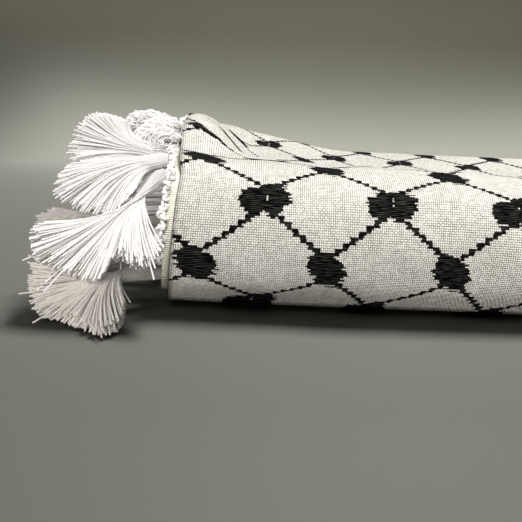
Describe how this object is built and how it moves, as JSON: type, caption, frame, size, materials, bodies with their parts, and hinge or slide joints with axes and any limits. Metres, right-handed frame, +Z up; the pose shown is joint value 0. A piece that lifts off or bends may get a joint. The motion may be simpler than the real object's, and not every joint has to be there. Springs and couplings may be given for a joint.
{
  "type": "folded keffiyeh headscarf",
  "caption": "Cotton headscarf with a fishnet pattern and knotted tassels, folded into a flat rectangular pack.",
  "frame": {"origin": "on the surface that the pack rests on, under the middle of the folded cloth", "axes": "+X along the pack away from the tassels, -Y towards the single rounded front fold, +Z up"},
  "size_m": [0.3454, 0.1916, 0.0586],
  "materials": {
    "cloth": "matte woven cotton, white with a black fishnet pattern",
    "layers": "matte woven cotton, edges of folded layers",
    "edge": "matte woven cream edge",
    "yarn": "soft twisted white cotton yarn"
  },
  "bodies": {
    "root": {"outer_cloth": "cloth", "folded_layers": "layers", "fringe_edge": "edge", "tassel_floor_fan": "yarn", "tassel_front_fan": "yarn", "tassel_upper_fan": "yarn", "tassel_top_fan": "yarn", "tassel_near_curl": "yarn", "tassel_crown_curl": "yarn", "tassel_shaded": "yarn", "tassel_second_row": "yarn", "tassel_low_1": "yarn", "tassel_low_2": "yarn", "tassel_low_3": "yarn", "tassel_low_4": "yarn", "tassel_low_5": "yarn", "tassel_low_6": "yarn", "tassel_middle_1": "yarn", "tassel_middle_2": "yarn", "tassel_middle_3": "yarn", "tassel_middle_4": "yarn", "tassel_middle_5": "yarn", "tassel_middle_6": "yarn", "tassel_high_1": "yarn", "tassel_high_2": "yarn", "tassel_high_3": "yarn", "tassel_high_4": "yarn"}
  },
  "joints": []
}
